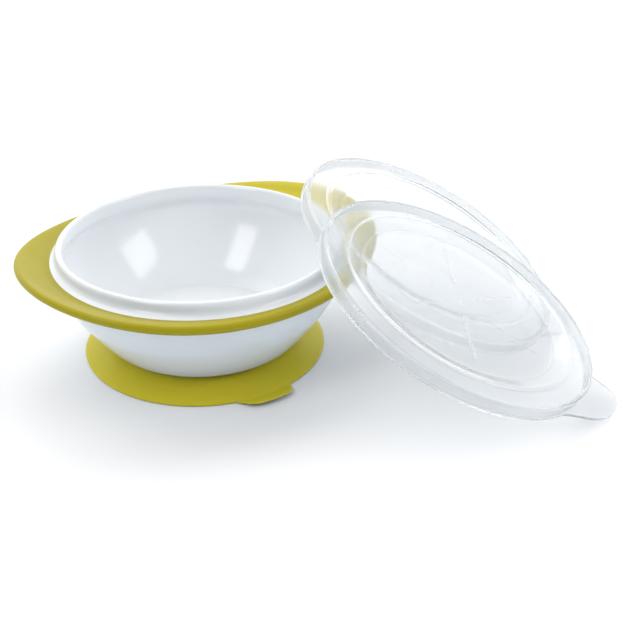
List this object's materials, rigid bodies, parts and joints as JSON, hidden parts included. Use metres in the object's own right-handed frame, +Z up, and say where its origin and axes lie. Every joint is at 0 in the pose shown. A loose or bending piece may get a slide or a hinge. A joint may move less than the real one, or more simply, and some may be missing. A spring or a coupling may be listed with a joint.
{
  "type": "suction bowl with lids",
  "caption": "Child's feeding bowl with an oval grip collar, a suction cup base with a release tab, and clear press-on lids leaning against it.",
  "frame": {"origin": "centre of the suction cup's seat on the table, on the bowl's axis", "axes": "+Z up along the bowl's axis, +X towards the side the lids lean on, -Y towards the near side of the bowl"},
  "size_m": [0.2797, 0.1924, 0.0787],
  "materials": {
    "white_plastic": "smooth glossy moulded polypropylene",
    "lime_elastomer": "smooth satin thermoplastic elastomer, yellow green",
    "clear_plastic": "clear glossy moulded polypropylene"
  },
  "bodies": {
    "base": {"suction_cup": "lime_elastomer"},
    "bowl": {"bowl_shell": "white_plastic", "rim_collar": "lime_elastomer", "anchor_plug": "white_plastic"},
    "release_tab": {"release_tab": "lime_elastomer"},
    "back_lid": {"back_lid": "clear_plastic"},
    "front_lid": {"front_lid": "clear_plastic"}
  },
  "joints": [
    {"name": "press_down", "type": "slide", "parent": "base", "child": "bowl", "axis": [0, 0, 1], "range_m": [-0.0024, 0], "stiffness_N_per_m": 8000, "deforming": ["suction_cup"]},
    {"name": "release_tab_peel", "type": "hinge", "parent": "base", "child": "release_tab", "pos_m": [0.03198, -0.04887, 0.0017], "axis": [-0.8368, -0.5476, 0], "range_deg": [0, 40], "stiffness_Nm_per_rad": 0.02},
    {"name": "back_lid_lift", "type": "slide", "parent": "base", "child": "back_lid", "axis": [0, 0, 1], "range_m": [0, 0.08]},
    {"name": "front_lid_lift", "type": "slide", "parent": "back_lid", "child": "front_lid", "axis": [0, 0, 1], "range_m": [0, 0.08]}
  ]
}
